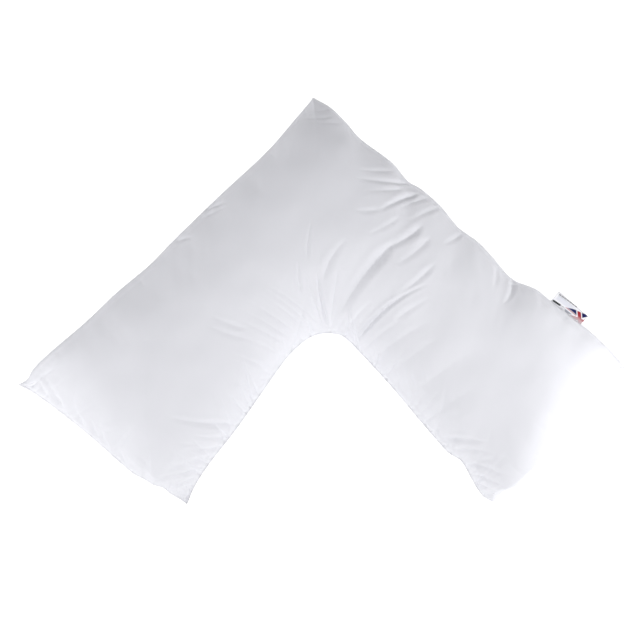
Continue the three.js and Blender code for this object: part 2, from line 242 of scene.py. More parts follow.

# The stage, in metres
VIEW_CENTRE = (-1.9 * MM, -36.5 * MM)
SEAM_HEIGHT = 62 * MM
BROAD_LIGHT_AZIMUTH = -105  # degrees from the longest extent, anticlockwise seen from above
BROAD_LIGHT_ELEVATION = 65
LAMP_PLACES = {"right": (1.52, -0.22, 0.6), "left": (-1.12, -0.24, 0.4)}  # low, beyond the arms' ends
LAMP_TARGETS = {"right": (0.42, -0.22, 0.1), "left": (-0.42, -0.24, 0.1)}
LAMP_SIZE = 0.5
FLOOR_REACH = 6
SENSOR = 36  # width of the camera's, in millimetres


def number_setting(name, description, value, **more):
    return FloatProperty(name=name, description=description, default=value, **more)


def length_setting(name, description, metres):
    """A length in the panel, shown to a hundredth of a millimetre."""
    return number_setting(name, description, metres, unit="LENGTH", precision=5)


def colour_setting(name, description, colour):
    return FloatVectorProperty(name=name, description=description, default=colour, subtype="COLOR")


class PillowSettings(bpy.types.PropertyGroup):
    """Sizes and finish of the filled case."""

    rows: IntProperty(name="Rows", description="Cells round the V, from arm end to arm end", default=860)
    columns: IntProperty(name="Columns", description="Cells across each panel", default=208)
    fold_share: number_setting(
        "Broad folds", "Share of the packed model's own broad folds that is kept", 0.2, subtype="FACTOR")
    pressure: number_setting("Filling pressure", "How hard the filling pushes", 4.0)
    ease: number_setting("Ease", "Extra cloth, as a share of a panel's size", 0.01, subtype="FACTOR")
    frames: IntProperty(name="Filling frames", description="Frames of the simulation", default=20)
    most_move: length_setting("Most movement", "Cap on how far filling moves the cloth", 9 * MM)
    wrinkle_share: number_setting(
        "Small wrinkles", "Share of the simulated cloth's small wrinkles that is kept", 0.15, subtype="FACTOR")
    lumps: length_setting("Lumps", "Height of the filling's unevenness", 0.8 * MM)
    groove_depth: length_setting("Seam groove", "How deep the edge sewing draws the panels in", 1.1 * MM)
    groove_place: length_setting("Groove place", "From the seam's edge to the groove", 3.2 * MM)
    thread_pitch: length_setting("Thread pitch", "From one thread of the weave to the next", 0.45 * MM)
    colour: colour_setting("Cloth colour", "Bleached white cloth", (0.878, 0.88, 0.925))


class StitchSettings(bpy.types.PropertyGroup):
    """The sewing along the edge."""

    pitch: length_setting("Stitch pitch", "From one stitch to the next", 3.2 * MM)
    length: length_setting("Stitch length", "Of the thread that shows", 2.4 * MM)
    thread: length_setting("Thread", "Thickness of the sewing thread", 0.4 * MM)
    colour: colour_setting("Thread colour", "White polyester thread", (0.9, 0.9, 0.93))


class LabelSettings(bpy.types.PropertyGroup):
    """The folded ribbon in the outer seam of the right arm."""

    ribbon: length_setting("Ribbon", "Thickness of one layer of the ribbon", 0.3 * MM)
    layer_gap: length_setting("Layer gap", "Most space between the ribbon's two layers", 0.3 * MM)
    tuck: length_setting("Tuck", "Of the ribbon into the seam", 2 * MM)
    colour: colour_setting("Ribbon colour", "White ribbon", (0.9, 0.9, 0.93))
    # The grey ink also colours the painted shade lines along the ribbon's fold and one cut side
    ink: colour_setting("Grey ink", "Of the rules", (0.008, 0.008, 0.01))
    flag_blue: colour_setting("Blue ink", "Of the flag", (0.004, 0.006, 0.09))
    flag_red: colour_setting("Red ink", "Of the flag", (0.36, 0.02, 0.03))


class StageSettings(bpy.types.PropertyGroup):
    """Floor, lights and camera."""

    lens: number_setting("Lens", "Focal length in millimetres", 85.0)
    frame_width: number_setting(
        "Frame width", "What the camera sees across, at the seam's height", 1.229, unit="LENGTH")
    broad_light: number_setting("Broad light", "Strength of the far, broad light", 1.97)
    broad_angle: number_setting(
        "Breadth", "How broad that light looks from the pillow", math.radians(40), subtype="ANGLE")
    right_lamp: number_setting("Right lamp", "Power of the soft lamp near the right arm", 7.2)
    left_lamp: number_setting("Left lamp", "Power of the soft lamp near the left arm", 1.14)
    fill: number_setting("Fill", "Strength of the light from all round", 0.195)
    floor_glow: number_setting("Floor glow", "Light that the white floor gives of itself", 1.0)


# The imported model's rows


def merged_triangles(node):
    """The node's corner points with doubles merged, and its triangles as triples of their numbers."""
    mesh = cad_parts[node].data
    mesh.calc_loop_triangles()
    points = np.array([v.co[:] for v in mesh.vertices])
    _, first, number = np.unique(np.round(points, 6), axis=0, return_index=True, return_inverse=True)
    triangles = number.ravel()[np.array([t.vertices[:] for t in mesh.loop_triangles])]
    return points[first], triangles


def cad_rows(node, rows, columns, corner):
    """The upper and the lower panel of a CAD node as grids of points, rows + 1 by columns + 1.

    corner gives the rim point at which both grids start. The rim runs anticlockwise from there.
    """
    points, triangles = merged_triangles(node)
    third = {}
    for a, b, c in triangles.tolist():
        third[a, b], third[b, c], third[c, a] = c, a, b
    place = {}
    for number, (x, y, z) in enumerate(points.tolist()):
        place.setdefault((round(x, 5), round(y, 5)), []).append((z, number))
    below = {max(pair)[1]: min(pair)[1] for pair in place.values() if len(pair) == 2}
    following = {a: b for (b, a), c in third.items() if below.get(a) == c}
    upper = np.zeros((rows + 1, columns + 1), int)
    upper[0, 0] = corner(points, list(following))
    for i in range(rows):
        upper[i + 1, 0] = following[upper[i, 0]]
    for j in range(columns):
        for i in range(rows):
            upper[i + 1, j + 1] = third[upper[i, j], upper[i + 1, j]]
        upper[0, j + 1] = third[upper[0, j], upper[1, j + 1]]
    lower = np.vectorize(below.get)(upper[:, [0]])
    lower = np.hstack([lower, np.zeros((rows + 1, columns), int)])
    for j in range(columns):
        for i in range(rows):
            lower[i + 1, j + 1] = third[lower[i + 1, j], lower[i, j]]
        lower[0, j + 1] = third[lower[1, j + 1], lower[0, j]]
    return points[upper], points[lower]


def rightmost(points, rim):
    return max(rim, key=lambda number: points[number][0])


def leftmost(points, rim):
    return min(rim, key=lambda number: points[number][0])


def resample(grid, rows, columns):
    """Reads a grid of points smoothly at fractional row and column numbers (Catmull-Rom)."""
    for values in (rows, columns):
        count = grid.shape[0]
        values = np.clip(values, 0, count - 1)
        base = np.minimum(values.astype(int), count - 2)
        t = (values - base)[:, None, None]
        before, first, second, after = (
            grid[np.clip(base + k, 0, count - 1)] for k in (-1, 0, 1, 2))
        grid = first + 0.5 * t * (
            second - before + t * (
                2 * before - 5 * first + 4 * second - after + t * (3 * (first - second) + after - before)))
        grid = np.swapaxes(grid, 0, 1)
    return grid


def evened(grid, spread):
    """A grid of points with each point drawn to the average of those near it in its column."""
    rows = np.arange(grid.shape[0])
    reach = np.arange(-math.ceil(3 * spread), math.ceil(3 * spread) + 1)
    weights = np.exp(-(reach / spread) ** 2 / 2)
    near = np.clip(rows[:, None] + reach, 0, rows[-1])
    return np.tensordot(weights / weights.sum(), grid[near], axes=(0, 1))


def inner_share(shape, from_ends, from_seams):
    """1 over the middle of a grid, falling to 0 at its edges over some rows and some columns."""
    rows, columns = (np.arange(count) for count in shape[:2])
    ends = np.clip(np.minimum(rows, rows[-1] - rows) / from_ends, 0, 1)
    seams = np.clip(np.minimum(columns, columns[-1] - columns) / from_seams, 0, 1)
    return (ends[:, None] * seams)[..., None]


def smoothed(grid, keep):
    """An upper panel with its heights evened out along the arm, keeping a share of its folds, and with
    a round turn behind the closed corner."""
    result = grid.copy()
    share = (1 - keep) * inner_share(grid.shape, ENDS_KEPT, SEAMS_KEPT)
    result[..., 2:] += share * (evened(grid, SMOOTHING_ROWS) - grid)[..., 2:]
    from_corner = (np.arange(len(grid)) - len(grid) // 2)[:, None, None] / CORNER_REACH
    share = np.exp(-from_corner ** 2) * inner_share(grid.shape, 1, CORNER_START)
    return result + share * (evened(result, CORNER_ROWS) - result)


def calmed(moved, keep):
    """The cloth's movement without most of its small wrinkles, which a coarse cloth makes too large."""
    even = np.swapaxes(evened(np.swapaxes(evened(moved, CALM_ROWS), 0, 1), CALM_COLUMNS), 0, 1)
    share = (1 - keep) * inner_share(moved.shape, 2 * CALM_COLUMNS, 2 * CALM_COLUMNS)
    return keep * moved + share * even


# Two panels joined along their seam


class Panels:
    """Upper and lower grids that share their rim, as one closed surface."""

    def __init__(self, upper, lower):
        self.shape = upper.shape[:2]
        rows, columns = self.shape
        rim = np.zeros(self.shape, bool)
        rim[[0, -1], :] = True
        rim[:, [0, -1]] = True
        self.rim = rim
        self.upper = np.arange(rows * columns).reshape(self.shape)
        self.lower = self.upper.copy()
        self.lower[~rim] = rows * columns + np.arange((~rim).sum())
        seam = (upper + lower) / 2
        upper = np.where(rim[..., None], seam, upper)
        self.points = np.vstack([upper.reshape(-1, 3), lower[~rim]])

    def faces(self):
        return np.vstack([grid_faces(self.upper), grid_faces(self.lower)[:, ::-1]])

    def normals(self):
        """Outward unit normals at all points."""
        faces = self.faces()
        across = self.points[faces[:, 2]] - self.points[faces[:, 0]]
        along = self.points[faces[:, 3]] - self.points[faces[:, 1]]
        flat = np.cross(across, along)
        total = np.zeros_like(self.points)
        for corner in range(4):
            np.add.at(total, faces[:, corner], flat)
        return total / np.maximum(np.linalg.norm(total, axis=1, keepdims=True), 1e-12)

    def mesh(self, name):
        return quad_mesh(name, self.points, self.faces())


def quad_mesh(name, points, faces):
    """A smooth-shaded mesh of four-cornered faces."""
    mesh = bpy.data.meshes.new(name)
    mesh.vertices.add(len(points))
    mesh.vertices.foreach_set("co", points.astype(np.float32).ravel())
    mesh.loops.add(faces.size)
    mesh.loops.foreach_set("vertex_index", faces.astype(np.int32).ravel())
    mesh.polygons.add(len(faces))
    mesh.polygons.foreach_set("loop_start", np.arange(0, faces.size, 4, dtype=np.int32))
    mesh.update(calc_edges=True)
    mesh.validate()
    mesh.shade_smooth()
    return mesh


def grid_faces(grid):
    """Four-cornered faces over a grid of point numbers, anticlockwise from above."""
    corners = (grid[:-1, :-1], grid[1:, :-1], grid[1:, 1:], grid[:-1, 1:])
    return np.stack([c.ravel() for c in corners], axis=1)


def loop_round(grid):
    """The numbers round a grid's edge, anticlockwise."""
    return np.concatenate([grid[:-1, 0], grid[-1, :-1], grid[:0:-1, -1], grid[0, :0:-1]])


def link(name, mesh):
    piece = bpy.data.objects.new(name, mesh)
    bpy.context.scene.collection.objects.link(piece)
    return piece


def steps(cells, count, crowding):
    """Fractional cell numbers, drawn apart at both ends by a negative crowding."""
    t = np.linspace(0, 1, count + 1)
    return cells * (t - crowding * np.sin(2 * np.pi * t) / (2 * np.pi))


# Filling, by cloth simulation


def fill_out(panels, settings):
    """How far each point moves when the filling's pressure pushes the eased cloth out from its seam."""
    piece = link("filling", panels.mesh("filling"))
    held = piece.vertex_groups.new(name="held")
    resting = np.flatnonzero(panels.points[:, 2] < RESTING)
    held.add(loop_round(panels.upper).tolist() + resting.tolist(), 1.0, "REPLACE")
    cloth = piece.modifiers.new("filling", "CLOTH")
    cloth.settings.vertex_group_mass = held.name
    for name, value in CLOTH.items():
        setattr(cloth.settings, name, value)
    cloth.settings.uniform_pressure_force = settings.pressure
    cloth.settings.shrink_min = -settings.ease
    cloth.settings.effector_weights.gravity = 0
    cloth.collision_settings.use_collision = False
    cloth.point_cache.frame_start = 1
    cloth.point_cache.frame_end = settings.frames
    for number in range(1, settings.frames + 1):
        bpy.context.scene.frame_set(number)
    graph = bpy.context.evaluated_depsgraph_get()
    filled = piece.evaluated_get(graph).data
    moved = np.zeros(len(filled.vertices) * 3, np.float32)
    filled.vertices.foreach_get("co", moved)
    moved = moved.reshape(-1, 3) - panels.points
    bpy.data.objects.remove(piece)
    bpy.context.scene.frame_set(1)
    length = np.maximum(np.linalg.norm(moved, axis=1, keepdims=True), 1e-9)
    return moved * np.tanh(length / settings.most_move) * settings.most_move / length


# Folds, puckers and the seam's groove


class Distances:
    """How far each point of a panel lies from each of its four seams, and along them."""

    def __init__(self, grid):
        along = np.linalg.norm(np.diff(grid, axis=0), axis=2)
        across = np.linalg.norm(np.diff(grid, axis=1), axis=2)
        from_right = np.pad(np.cumsum(along, axis=0), ((1, 0), (0, 0)))
        from_outer = np.pad(np.cumsum(across, axis=1), ((0, 0), (1, 0)))
        self.inward = {
            "outer": from_outer,
            "left end": from_right[-1:] - from_right,
            "inner": from_outer[:, -1:] - from_outer,
            "right end": from_right,
        }
        self.along = {
            "outer": from_right[:, 0],
            "left end": from_outer[-1],
            "inner": from_right[:, -1],
            "right end": from_outer[0],
        }
        self.nearest = np.minimum.reduce(list(self.inward.values()))


def beside(places, stroke):
    """How far each place lies along a stroke, as a share of its length, and how far to its left."""
    start = np.array((stroke.from_x, stroke.from_y), float)
    chord = np.array((stroke.to_x, stroke.to_y), float) - start
    length = np.hypot(*chord)
    offset = places - start
    aside = (chord[0] * offset[..., 1] - chord[1] * offset[..., 0]) / length
    return offset @ chord / length ** 2, aside


def fold_depth(places):
    """How deep the folds press the upper panel in, in millimetres, at places from the closed corner."""
    total = np.zeros(places.shape[:-1])
    for fold in FOLDS:
        t, aside = beside(places, fold)
        start_share = np.clip(t / FOLD_START, 0, 1)
        end_share = np.clip(1 - t, 0, 1)
        taper = FOLD_TIPS + (1 - FOLD_TIPS) * np.minimum(start_share, np.sqrt(end_share))
        aside = (aside - 4 * fold.bow * t * (1 - t)) / (fold.width * taper)
        fade = start_share ** 2 * (3 - 2 * start_share) * end_share ** 0.7
        trough = np.exp(-aside ** 2)
        crease = np.exp(-np.abs(aside) / CREASE_WIDTH)
        ridges = np.exp(-((np.abs(aside) - RIDGE_OFFSET) / RIDGE_WIDTH) ** 2)
        profile = (1 - CREASE_SHARE) * trough + CREASE_SHARE * crease - fold.ridge / 2 * ridges
        total += fold.depth * fade * profile
    return total


def swelling_height(places):
    """How far the swellings lift the upper panel, in millimetres, at places from the closed corner."""
    total = np.zeros(places.shape[:-1])
    for swelling in SWELLINGS:
        t, aside = beside(places, swelling)
        across = np.exp(-np.abs(aside / swelling.width) ** swelling.roundness)
        total += swelling.height * np.sin(np.pi * np.clip(t, 0, 1) ** SWELLING_SKEW) * across
    return total


def pucker_depth(inward, along, puckers, seed):
    """How deep one seam's puckers press a panel in. Both arrays have a line of points for each place
    along the seam."""
    rng = np.random.default_rng(seed)
    total = np.zeros(inward.shape)
    place = puckers.spacing * MM * rng.random()
    while place < along[-1]:
        reach = puckers.reach * MM * rng.uniform(*PUCKER_SPREADS["reach"])
        width = puckers.width * MM * rng.uniform(*PUCKER_SPREADS["width"])
        slant = rng.uniform(-PUCKER_SLANT, PUCKER_SLANT)
        near = np.abs(along - place) < 6 * width + 0.5 * reach
        inside = inward[near]
        aside = (along[near, None] - place - slant * inside) / (width * (1 + 0.4 * inside / reach))
        fade = np.clip(inside / PUCKER_START, 0, 1) * np.clip(1 - inside / reach, 0, 1) ** 0.8
        depth = puckers.depth * MM * rng.uniform(*PUCKER_SPREADS["depth"])
        total[near] += depth * fade * np.exp(-np.abs(aside) ** 1.4)
        place += puckers.spacing * MM * rng.uniform(*PUCKER_SPREADS["spacing"])
    return total


def all_puckers(distances, seed):
    total = 0
    for puckers in SEAM_PUCKERS:
        inward, along = distances.inward[puckers.side], distances.along[puckers.side]
        at_end = puckers.side.endswith("end")
        depth = pucker_depth(inward.T if at_end else inward, along, puckers, puckers.seed + seed)
        total += depth.T if at_end else depth
    return total


def lumps(places, seed):
    """Smooth unevenness at places seen from above, from waves of many lengths and directions."""
    rng = np.random.default_rng(seed)
    total = np.zeros(places.shape[:2])
    for _ in range(WAVES):
        length = rng.uniform(*WAVE_LENGTHS)
        angle, phase = rng.uniform(0, 2 * math.pi, 2)
        along = places[..., 0] * math.cos(angle) + places[..., 1] * math.sin(angle)
        total += length / WAVE_LENGTHS[1] * np.sin(2 * math.pi * along / length + phase)
    return total / math.sqrt(WAVES / 4)


def flattened(grid):
    """Where each point of a panel lay in the flat cloth: seen from above, with its slopes laid out."""
    middle_row, middle = grid.shape[0] // 2, grid.shape[1] // 2

    def laid_out(points, axis):
        step = np.diff(points, axis=axis)
        level = step[..., :2]
        run = np.maximum(np.linalg.norm(level, axis=-1, keepdims=True), 1e-9)
        laid = level / run * np.linalg.norm(step, axis=-1, keepdims=True)
        return np.concatenate([np.zeros_like(np.take(laid, [0], axis)), np.cumsum(laid, axis)], axis)

    spine = laid_out(grid[:, middle], 0)
    spine += grid[middle_row, middle, :2] - spine[middle_row]
    across = laid_out(grid, 1)
    return across - across[:, [middle]] + spine[:, None]


def build_case(settings):
    """The filled panels before they are creased."""
    upper, lower = cad_rows("pillow", PILLOW_ROWS, PILLOW_COLUMNS, rightmost)
    upper = smoothed(upper, settings.fold_share)
    fine_rows = steps(PILLOW_ROWS, settings.rows, ROW_CROWDING)
    fine_columns = steps(PILLOW_COLUMNS, settings.columns, COLUMN_CROWDING)
    fine = Panels(*(resample(grid, fine_rows, fine_columns) for grid in (upper, lower)))
    coarse_rows = steps(PILLOW_ROWS, COARSE_SPLIT * PILLOW_ROWS, 0)
    coarse_columns = steps(PILLOW_COLUMNS, COARSE_SPLIT * PILLOW_COLUMNS, 0)
    coarse = Panels(*(resample(grid, coarse_rows, coarse_columns) for grid in (upper, lower)))
    moved = fill_out(coarse, settings)
    inside = ~fine.rim
    for coarse_grid, fine_grid in ((coarse.upper, fine.upper), (coarse.lower, fine.lower)):
        calm = calmed(moved[coarse_grid], settings.wrinkle_share)
        at_points = resample(calm, COARSE_SPLIT * fine_rows, COARSE_SPLIT * fine_columns)
        fine.points[fine_grid[inside]] += at_points[inside]
    return fine


def crease(panels, settings):
    """Presses folds, puckers, lumps and the edge's groove into both panels."""
    normals = panels.normals()
    inside = ~panels.rim
    for grid, seed in ((panels.upper, 0), (panels.lower, LOWER_SEED)):
        places = panels.points[grid]
        distances = Distances(places)
        from_edge = distances.nearest / settings.groove_place
        depth = settings.groove_depth * from_edge * np.exp(1 - from_edge)
        depth += all_puckers(distances, seed)
        uneven = lumps(places, seed + LUMPS_SEED)
        lifted = np.clip(places[..., 2] / WAVES_RISE, 0, 1)
        depth += settings.lumps * uneven * lifted * np.clip(distances.nearest / WAVES_FADE, 0, 1)
        if grid is panels.upper:
            seen = (places[..., :2] - np.array(CLOSED_CORNER)) / MM
            depth += fold_depth(seen) * MM * np.clip(distances.nearest / FOLDS_FADE, 0, 1)
            depth -= swelling_height(seen) * MM * np.clip(distances.nearest / SWELLINGS_FADE, 0, 1)
        numbers = grid[inside]
        panels.points[numbers] -= normals[numbers] * depth[inside][:, None]
    panels.points[:, 2] = np.maximum(panels.points[:, 2], 0)


class CaseOperator(bpy.types.Operator):
    """Makes the filled case"""

    bl_idname = "pillow.case"
    bl_label = "Filled case"

    def execute(self, context):
        settings = context.scene.pillow_case
        panels = build_case(settings)
        cut = [flattened(panels.points[grid]) for grid in (panels.upper, panels.lower)]
        crease(panels, settings)
        piece = link("filled_case", panels.mesh("filled_case"))
        corners = grid_faces(np.arange(panels.upper.size).reshape(panels.shape))
        upper_cut, lower_cut = (places.reshape(-1, 2) for places in cut)
        laid = [upper_cut[corners], lower_cut[corners[:, ::-1]]]
        cloth = piece.data.uv_layers.new(name="cloth")
        cloth.data.foreach_set("uv", np.concatenate(laid).astype(np.float32).ravel())
        nearest = np.zeros(len(panels.points))
        for grid in (panels.lower, panels.upper):
            nearest[grid] = Distances(panels.points[grid]).nearest
        to_seam = piece.data.attributes.new("to_seam", "FLOAT", "POINT")
        to_seam.data.foreach_set("value", nearest.astype(np.float32))
        piece.data.materials.append(woven_cotton(settings))
        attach(piece, ROOT)
        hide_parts("pillow")
        self.store_sewing_line(panels)
        return {"FINISHED"}

    @staticmethod
    def store_sewing_line(panels):
        """Keeps the line of the edge sewing on both panels for the stitches to follow."""
        normals = panels.normals()
        places, faces_up = [], []
        for grid in (panels.upper, panels.lower):
            line, lie = line_inside(panels.points[grid], normals[grid], SEWING_INSET)
            places.append(line)
            faces_up.append(lie)
        SEWING.update(places=places, lie=faces_up)


def line_inside(grid, normals, distance):
    """Points and normals all round a panel at one distance inside its seam."""
    distances = Distances(grid)
    both = np.concatenate([grid, normals], axis=2)
    line = []
    for side in ("outer", "left end", "inner", "right end"):
        inward, lines = distances.inward[side], both
        if side.endswith("end"):
            inward, lines = inward.T, np.swapaxes(lines, 0, 1)
        along = distances.along[side]
        if side in ("left end", "inner"):
            inward, lines = inward[:, ::-1], lines[:, ::-1]
        kept = [
            [np.interp(distance, depths, values) for values in points.T]
            for depths, points, place in zip(inward, lines, along)
            if distance < place < along[-1] - distance
        ]
        line += kept[::-1] if side in ("inner", "right end") else kept
    line = np.array(line)
    return line[:, :3], line[:, 3:]


# Materials. Cells of noise for each metre, in the cloth's two directions

SLUBS = (90, 1600)
CLOUDS = (9, 9)
CRUMPLES = (38, 38)
TWISTS = (2600, 2600)
FIBRES = (2500, 200)
RIB_PITCH = 0.35 * MM


class Nodes:
    """A node tree whose nodes are added and linked in one call each."""

    def __init__(self, tree):
        self.tree = tree

    def join(self, value, socket):
        if isinstance(value, bpy.types.NodeSocket):
            self.tree.links.new(value, socket)
        elif socket.type == "RGBA":
            socket.default_value = (*value, 1)
        else:
            socket.default_value = value

    def node(self, kind, modes=(), **inputs):
        """A node, with its modes set before its inputs are looked up."""
        node = self.tree.nodes.new(kind)
        for name, mode in dict(modes).items():
            setattr(node, name, mode)
        for name, value in inputs.items():
            self.join(value, node.inputs[name.replace("_", " ")])
        return node

    def math(self, operation, *values):
        node = self.node("ShaderNodeMath", {"operation": operation})
        for value, socket in zip(values, node.inputs):
            self.join(value, socket)
        return node.outputs[0]

    def times(self, first, second):
        return self.math("MULTIPLY", first, second)

    def plus(self, first, second):
        return self.math("ADD", first, second)

    def combined(self, first, share, second, other):
        """Two values, each times its share, added up."""
        return self.plus(self.times(first, share), self.times(second, other))


class Finish(Nodes):
    """A material on the Principled shader, and what its patterns are made of."""

    def __init__(self, name, colour, roughness):
        self.material = bpy.data.materials.new(name)
        self.material.use_nodes = True
        super().__init__(self.material.node_tree)
        self.shader = self.tree.nodes["Principled BSDF"]
        self.set(Base_Color=colour, Roughness=roughness)

    def set(self, **inputs):
        """Sets or links the shader's own sockets."""
        for name, value in inputs.items():
            self.join(value, self.shader.inputs[name.replace("_", " ")])

    def mix(self, share, first, second):
        node = self.node("ShaderNodeMix", {"data_type": "RGBA"})
        sockets = {socket.identifier: socket for socket in node.inputs}
        self.join(share, sockets["Factor_Float"])
        self.join(first, sockets["A_Color"])
        self.join(second, sockets["B_Color"])
        return next(socket for socket in node.outputs if socket.identifier == "Result_Color")

    def ramp(self, value, low, high, first=0.0, last=1.0):
        """From first to last while the value goes from low to high, and level beyond."""
        node = self.node(
            "ShaderNodeMapRange", Value=value, From_Min=low, From_Max=high, To_Min=first, To_Max=last)
        return node.outputs[0]

    def within(self, value, low, high, soft=0.25):
        """1 between two bounds, fading over a soft edge."""
        above = self.ramp(value, low - soft, low + soft)
        return self.times(above, self.ramp(value, high + soft, high - soft))

    def cloth_places(self, name):
        """The two coordinates of a UV map that is in metres, and the map itself."""
        uv = self.node("ShaderNodeUVMap", {"uv_map": name})
        parts = self.node("ShaderNodeSeparateXYZ", Vector=uv.outputs["UV"])
        return parts.outputs["X"], parts.outputs["Y"], uv.outputs["UV"]

    def noise(self, places, scale, detail=2.0):
        """Noise from 0 to 1 whose cells are scale times smaller than a metre, in two directions."""
        mapping = self.node("ShaderNodeMapping", Vector=places, Scale=(*scale, 1))
        return self.node("ShaderNodeTexNoise", Vector=mapping.outputs[0], Scale=1.0, Detail=detail).outputs[0]

    def weave(self, u, v, pitch):
        """Height from 0 to 1 of a plain weave: threads of each direction pass over in turn."""
        across = self.math("SINE", self.times(u, math.pi / pitch))
        down = self.math("SINE", self.times(v, math.pi / pitch))
        over = self.math("GREATER_THAN", self.times(across, down), 0.0)
        first, second = self.math("ABSOLUTE", across), self.math("ABSOLUTE", down)
        long_way = self.times(self.math("POWER", first, 0.4), second)
        cross_way = self.times(first, self.math("POWER", second, 0.4))
        return self.combined(long_way, over, cross_way, self.math("SUBTRACT", 1.0, over))

    def bump(self, height, distance, strength, under=None):
        node = self.node("ShaderNodeBump", Height=height, Distance=distance, Strength=strength)
        if under is not None:
            self.join(under, node.inputs["Normal"])
        return node.outputs[0]


def woven_cotton(settings):
    """Plain weave with slubs, faint crumples and clouds of tone, a little darker along the seam."""
    finish = Finish("white_plain_weave", settings.colour, 0.88)
    u, v, places = finish.cloth_places("cloth")
    slubs = finish.times(finish.noise(places, SLUBS), finish.noise(places, SLUBS[::-1]))
    clouds = finish.noise(places, CLOUDS, detail=3.0)
    seam = finish.node("ShaderNodeAttribute", {"attribute_name": "to_seam"})
    edge = finish.ramp(seam.outputs["Fac"], 1 * MM, 9 * MM, 1.0, 0.0)
    white = Vector(settings.colour)
    tone = finish.mix(finish.times(clouds, 0.5), white, white * 0.97)
    tone = finish.mix(finish.times(slubs, 0.35), tone, white * 0.9)
    tone = finish.mix(finish.times(edge, 0.35), tone, white * 0.86)
    crumple = finish.bump(finish.noise(places, CRUMPLES, detail=3.0), 1.4 * MM, 0.22)
    thread = finish.bump(slubs, 0.25 * MM, 0.35, under=crumple)
    weave = finish.bump(finish.weave(u, v, settings.thread_pitch), 0.12 * MM, 0.4, under=thread)
    finish.set(
        Base_Color=tone, Roughness=finish.ramp(clouds, 0.0, 1.0, 0.8, 0.95), Normal=weave,
        Sheen_Weight=0.12, Sheen_Roughness=0.5, Specular_IOR_Level=0.25)
    return finish.material


def sewing_thread(settings):
    """Twisted thread."""
    finish = Finish("white_thread", settings.colour, 0.6)
    coordinates = finish.node("ShaderNodeTexCoord")
    twist = finish.noise(coordinates.outputs["Object"], TWISTS, detail=1.0)
    white = Vector(settings.colour)
    tone = finish.mix(finish.times(twist, 0.5), white, white * 0.85)
    finish.set(Base_Color=tone, Normal=finish.bump(twist, 0.1 * MM, 0.5), Sheen_Weight=0.2)
    return finish.material


# Stitches


def stitch_tree(material):
    """Geometry Nodes that lay one raised stitch after another along a line."""
    tree = bpy.data.node_groups.new("edge_stitches", "GeometryNodeTree")
    tree.interface.new_socket("Line", in_out="INPUT", socket_type="NodeSocketGeometry")
    for name in ("Pitch", "Length", "Thread"):
        socket = tree.interface.new_socket(name, in_out="INPUT", socket_type="NodeSocketFloat")
        socket.subtype = "DISTANCE"
    tree.interface.new_socket("Stitches", in_out="OUTPUT", socket_type="NodeSocketGeometry")
    nodes = Nodes(tree)
    given = nodes.node("NodeGroupInput")
    pitch, length, thread = (given.outputs[name] for name in ("Pitch", "Length", "Thread"))
    line = nodes.node("GeometryNodeMeshToCurve", Mesh=given.outputs["Line"])
    spread = nodes.node(
        "GeometryNodeResampleCurve", {"mode": "LENGTH"}, Curve=line.outputs[0], Length=pitch)

    sunk = nodes.times(thread, -0.2)
    start = nodes.node("ShaderNodeCombineXYZ", X=nodes.times(length, -0.5), Z=sunk)
    middle = nodes.node("ShaderNodeCombineXYZ", Z=nodes.times(thread, 0.9))
    end = nodes.node("ShaderNodeCombineXYZ", X=nodes.times(length, 0.5), Z=sunk)
    path = nodes.node(
        "GeometryNodeCurveQuadraticBezier", Resolution=4, Start=start.outputs[0],
        Middle=middle.outputs[0], End=end.outputs[0])
    round_thread = nodes.node(
        "GeometryNodeCurvePrimitiveCircle", Resolution=6, Radius=nodes.times(thread, 0.5))
    stitch = nodes.node(
        "GeometryNodeCurveToMesh", Curve=path.outputs[0], Fill_Caps=True,
        Profile_Curve=round_thread.outputs["Curve"])

    tangent = nodes.node("GeometryNodeInputTangent")
    lie = nodes.node("GeometryNodeInputNamedAttribute", {"data_type": "FLOAT_VECTOR"}, Name="lie")
    up = next(o for o in lie.outputs if o.enabled and o.type == "VECTOR")
    along = nodes.node("FunctionNodeAlignRotationToVector", {"axis": "X"}, Vector=tangent.outputs[0])
    upright = nodes.node(
        "FunctionNodeAlignRotationToVector", {"axis": "Z", "pivot_axis": "X"},
        Rotation=along.outputs[0], Vector=up)
    laid = nodes.node(
        "GeometryNodeInstanceOnPoints", Points=spread.outputs[0], Instance=stitch.outputs[0],
        Rotation=upright.outputs[0])
    real = nodes.node("GeometryNodeRealizeInstances", Geometry=laid.outputs[0])
    smooth = nodes.node("GeometryNodeSetShadeSmooth", Geometry=real.outputs[0])
    painted = nodes.node("GeometryNodeSetMaterial", Geometry=smooth.outputs[0], Material=material)
    nodes.node("NodeGroupOutput", Stitches=painted.outputs[0])
    return tree


class StitchOperator(bpy.types.Operator):
    """Sews along the case's edge on both panels"""

    bl_idname = "pillow.stitches"
    bl_label = "Edge stitches"

    def execute(self, context):
        settings = context.scene.pillow_stitches
        places = np.vstack(SEWING["places"])
        counts = [len(line) for line in SEWING["places"]]
        edges = [
            (start + k, start + (k + 1) % count)
            for start, count in zip((0, counts[0]), counts) for k in range(count)
        ]
        mesh = bpy.data.meshes.new("sewing_line")
        mesh.from_pydata(places.tolist(), edges, [])
        lie = mesh.attributes.new("lie", "FLOAT_VECTOR", "POINT")
        lie.data.foreach_set("vector", np.vstack(SEWING["lie"]).astype(np.float32).ravel())
        line = link("sewing_line", mesh)
        material = sewing_thread(settings)
        tree = stitch_tree(material)
        sewing = line.modifiers.new("sewing", "NODES")
        sewing.node_group = tree
        values = {"Pitch": settings.pitch, "Length": settings.length, "Thread": settings.thread}
        for socket in tree.interface.items_tree:
            if socket.name in values:
                sewing[socket.identifier] = values[socket.name]
        graph = context.evaluated_depsgraph_get()
        stitches = bpy.data.meshes.new_from_object(line.evaluated_get(graph), depsgraph=graph)
        bpy.data.objects.remove(line)
        piece = link("edge_stitches", stitches)
        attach(piece, ROOT)
        return {"FINISHED"}


# The label


